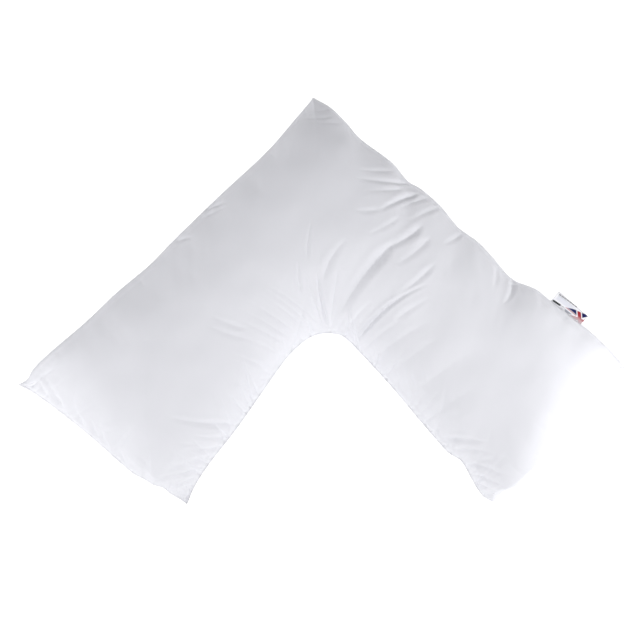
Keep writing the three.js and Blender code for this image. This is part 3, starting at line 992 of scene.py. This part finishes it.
def build_ribbon(settings):
    """The folded ribbon as grids of points: its outer face, its inner face and its places in the flat
    ribbon. Rows run along the seam. Columns run from the seam under the label, round the fold and back."""
    upper, lower = cad_rows("label", LABEL_ROWS, LABEL_COLUMNS, leftmost)
    middle = (upper + lower) / 2
    seam_step = middle[:, 0] - middle[:, 1]
    seam_step /= np.linalg.norm(seam_step, axis=1, keepdims=True)
    middle = np.concatenate([(middle[:, 0] + seam_step * settings.tuck)[:, None], middle], axis=1)
    fine = resample(
        middle, steps(LABEL_ROWS, RIBBON_ROWS, 0), steps(LABEL_COLUMNS + 1, RIBBON_COLUMNS, 0))
    along = np.gradient(fine, axis=0)
    across = np.gradient(fine, axis=1)
    up = np.cross(along, across)
    up /= np.linalg.norm(up, axis=2, keepdims=True)
    out = across[:, -1] / np.linalg.norm(across[:, -1], axis=1, keepdims=True)

    t = np.linspace(0, 1, fine.shape[1])
    bend = settings.ribbon * RIBBON_BEND
    apart = (bend + settings.layer_gap / 2 * np.sin(np.pi * t) ** 0.7)[None, :, None]
    top = fine + up * apart
    bottom = fine - up * apart
    angles = np.radians(np.arange(-60, 61, 30))[None, :, None]
    turn = out[:, None] * np.cos(angles) + up[:, -1:] * np.sin(angles)
    fold = fine[:, -1:] + turn * bend
    centre = np.concatenate([bottom, fold, top[:, ::-1]], axis=1)
    facing = np.concatenate([-up, turn, up[:, ::-1]], axis=1)
    outer = centre + facing * settings.ribbon / 2
    inner = centre - facing * settings.ribbon / 2
    along_seam = np.pad(np.cumsum(np.linalg.norm(np.diff(fine[:, 1], axis=0), axis=1)), (1, 0))
    run = np.pad(np.cumsum(np.linalg.norm(np.diff(centre[0], axis=0), axis=1)), (1, 0))
    from_seam = run[-1] - run - settings.tuck
    flat = np.stack(np.meshgrid(along_seam, from_seam, indexing="ij"), axis=-1)
    return outer, inner, flat, (along_seam[-1], run[-1])


class LabelOperator(bpy.types.Operator):
    """Folds the label's ribbon into the outer seam"""

    bl_idname = "pillow.label"
    bl_label = "Label"

    def execute(self, context):
        settings = context.scene.pillow_label
        outer, inner, flat, size = build_ribbon(settings)
        numbers = np.arange(outer[..., 0].size).reshape(outer.shape[:2])
        inside = numbers + numbers.size
        rim = loop_round(numbers)
        after = np.roll(rim, -1)
        edge = np.stack([rim, rim + numbers.size, after + numbers.size, after], axis=1)
        faces = np.vstack([grid_faces(numbers)[:, ::-1], grid_faces(inside), edge])
        points = np.vstack([outer.reshape(-1, 3), inner.reshape(-1, 3)])
        piece = link("folded_label", quad_mesh("folded_label", points, faces))
        places = np.vstack([flat.reshape(-1, 2)] * 2)
        ribbon = piece.data.uv_layers.new(name="ribbon")
        ribbon.data.foreach_set("uv", places[faces].astype(np.float32).ravel())
        piece.data.materials.append(ribbon_print_and_painted_light(settings))
        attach(piece, ROOT)
        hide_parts("label")
        return {"FINISHED"}


def flag(finish, along, out, settings):
    """Where the flag is printed, with its print paler towards the seam as a painted highlight, and its
    colours. It stands upright as the label hangs, so it is turned against the ribbon."""
    s = finish.math("SUBTRACT", along, FLAG_PLACE[0])
    t = finish.math("SUBTRACT", out, FLAG_PLACE[1])
    turn = math.radians(FLAG_TURN)
    p = finish.combined(s, math.cos(turn), t, math.sin(turn))
    q = finish.combined(s, -math.sin(turn), t, math.cos(turn))
    q = finish.combined(q, 1.0, p, FLAG_LEAN)
    q = finish.combined(q, 1.0, finish.math("SINE", finish.times(p, FLAG_WAVE[0])), FLAG_WAVE[1])
    width, height = FLAG_SIZE
    slope = math.atan2(height, width)
    rising = finish.combined(q, math.cos(slope), p, -math.sin(slope))
    falling = finish.combined(q, math.cos(slope), p, math.sin(slope))
    unit = height / 30
    aside = finish.times(finish.math("SIGN", p), unit)
    diagonals = {
        "white": (rising, falling), "red": (finish.plus(rising, aside), finish.plus(falling, aside))}
    inks = {"white": Vector(settings.colour), "red": Vector(settings.flag_red)}
    stripes = [
        (line, FLAG_DIAGONALS[ink] * unit, inks[ink]) for ink in inks for line in diagonals[ink]
    ] + [(line, FLAG_CROSS[ink] * unit, inks[ink]) for ink in inks for line in (p, q)]
    colours = Vector(settings.flag_blue)
    for line, half, ink in stripes:
        colours = finish.mix(finish.within(line, -half, half, 0.2), colours, ink)
    cloth = finish.times(
        finish.within(p, -width / 2, width / 2), finish.within(q, -height / 2, height / 2))
    # Painted highlight: the print weakens towards the seam
    shown = finish.times(cloth, finish.ramp(out, *FLAG_PAINTED_HIGHLIGHT))
    return finish.times(shown, finish.within(out, *FLAG_LIMITS)), colours


def ribbon_print_and_painted_light(settings):
    """White ribbon with printed plain grey rules and a printed flag, a light grey painted shade band and dark
    painted shade lines along its fold and one cut side, and the flag's print paler towards the seam as a
    painted highlight.
    """
    finish = Finish("white_ribbon_print_and_painted_light", settings.colour, 0.5)
    u, v, places = finish.cloth_places("ribbon")
    along = finish.math("DIVIDE", u, MM)
    out = finish.math("DIVIDE", v, MM)

    def patch(s0, s1, t0, t1, soft):
        return finish.times(finish.within(along, s0, s1, soft), finish.within(out, t0, t1, soft))

    white = Vector(settings.colour)
    ink = Vector(settings.ink)
    # Painted shade: a grey band along the ribbon's fold
    tone = finish.mix(finish.times(patch(*PAINTED_FOLD_SHADE_BAND, 0.5), 0.5), white, white * 0.62)
    tone = finish.mix(finish.times(patch(*PALE_FIELD, 1.0), 0.6), tone, PALE_BLUE)
    # Painted shade: dark lines along the fold and along one cut side, in the rules' ink
    edge = finish.math("MAXIMUM", finish.within(out, *PAINTED_FOLD_SHADE_LINES), finish.within(along, *PAINTED_SIDE_SHADE_LINE))
    tone = finish.mix(finish.times(edge, 0.6), tone, ink)
    dashes = finish.math("LESS_THAN", finish.math("PINGPONG", along, DASH[0]), DASH[1])
    for s0, s1, t0, t1, share, climb in RULES:
        level = finish.math("SUBTRACT", out, finish.times(along, climb))
        rule = finish.times(finish.within(along, s0, s1), finish.within(level, t0, t1))
        mask = finish.times(rule, share)
        if share < WHOLE_RULE:
            mask = finish.times(mask, dashes)
        tone = finish.mix(mask, tone, ink)
    shown, colours = flag(finish, along, out, settings)
    tone = finish.mix(shown, tone, colours)

    ribs = finish.math("SINE", finish.times(u, 2 * math.pi / RIB_PITCH))
    fibres = finish.noise(places, FIBRES)
    height = finish.combined(ribs, 0.3, fibres, 1.0)
    finish.set(
        Base_Color=tone, Roughness=finish.ramp(fibres, 0.0, 1.0, 0.42, 0.6),
        Normal=finish.bump(height, 0.05 * MM, 0.5), Sheen_Weight=0.03, Specular_IOR_Level=0.2)
    return finish.material


# Floor, lights and camera


def light(name, kind, **values):
    data = bpy.data.lights.new(name, kind)
    for key, value in values.items():
        setattr(data, key, value)
    return link(name, data)


class StageOperator(bpy.types.Operator):
    """Makes the floor, the lights and the camera"""

    bl_idname = "pillow.stage"
    bl_label = "Stage"

    def execute(self, context):
        settings = context.scene.pillow_stage
        mesh = bpy.data.meshes.new("floor")
        corners = [(-1, -1), (1, -1), (1, 1), (-1, 1)]
        mesh.from_pydata([(x * FLOOR_REACH, y * FLOOR_REACH, 0) for x, y in corners], [], [(0, 1, 2, 3)])
        floor = link("floor", mesh)
        finish = Finish("white_floor", (0.4, 0.4, 0.4), 0.9)
        finish.set(Emission_Color=(1, 1, 1), Emission_Strength=settings.floor_glow)
        mesh.materials.append(finish.material)

        camera_data = bpy.data.cameras.new("camera")
        camera_data.lens = settings.lens
        camera_data.sensor_width = SENSOR
        camera = link("camera", camera_data)
        distance = settings.lens / SENSOR * settings.frame_width
        camera.location = (*VIEW_CENTRE, SEAM_HEIGHT + distance)
        context.scene.camera = camera

        broad = light("broad_light", "SUN", energy=settings.broad_light, angle=settings.broad_angle)
        broad.rotation_euler = (
            math.radians(90 - BROAD_LIGHT_ELEVATION), 0, math.radians(90 + BROAD_LIGHT_AZIMUTH))
        for side, power in (("right", settings.right_lamp), ("left", settings.left_lamp)):
            lamp = light(f"{side}_lamp", "AREA", shape="DISK", size=LAMP_SIZE, energy=power)
            lamp.location = LAMP_PLACES[side]
            lamp.rotation_mode = "QUATERNION"
            towards = Vector(LAMP_TARGETS[side]) - lamp.location
            lamp.rotation_quaternion = towards.to_track_quat("-Z", "Y")

        world = bpy.data.worlds.new("studio")
        world.use_nodes = True
        background = world.node_tree.nodes["Background"]
        background.inputs["Color"].default_value = (0.97, 0.975, 1, 1)
        background.inputs["Strength"].default_value = settings.fill
        context.scene.world = world
        context.scene.view_settings.view_transform = "Standard"
        context.scene.view_settings.look = "None"
        return {"FINISHED"}


class PillowPanel(bpy.types.Panel):
    """Lists the steps that make the pillow"""

    bl_idname = "VIEW3D_PT_pillow"
    bl_label = "V-shaped pillow"
    bl_space_type = "VIEW_3D"
    bl_region_type = "UI"
    bl_category = "Pillow"

    def draw(self, context):
        for name, _, operator in STEPS:
            box = self.layout.box()
            group = getattr(context.scene, name)
            for setting in group.bl_rna.properties.keys():
                if setting not in ("rna_type", "name"):
                    box.prop(group, setting)
            box.operator(operator.bl_idname)


STEPS = (
    ("pillow_case", PillowSettings, CaseOperator),
    ("pillow_stitches", StitchSettings, StitchOperator),
    ("pillow_label", LabelSettings, LabelOperator),
    ("pillow_stage", StageSettings, StageOperator),
)


def register():
    for name, settings, operator in STEPS:
        bpy.utils.register_class(settings)
        bpy.utils.register_class(operator)
        setattr(bpy.types.Scene, name, PointerProperty(type=settings))
    bpy.utils.register_class(PillowPanel)


def unregister():
    bpy.utils.unregister_class(PillowPanel)
    for name, settings, operator in reversed(STEPS):
        delattr(bpy.types.Scene, name)
        bpy.utils.unregister_class(operator)
        bpy.utils.unregister_class(settings)


def main():
    register()
    bpy.ops.pillow.case()
    bpy.ops.pillow.stitches()
    bpy.ops.pillow.label()
    bpy.ops.pillow.stage()


if __name__ == "__main__":
    main()
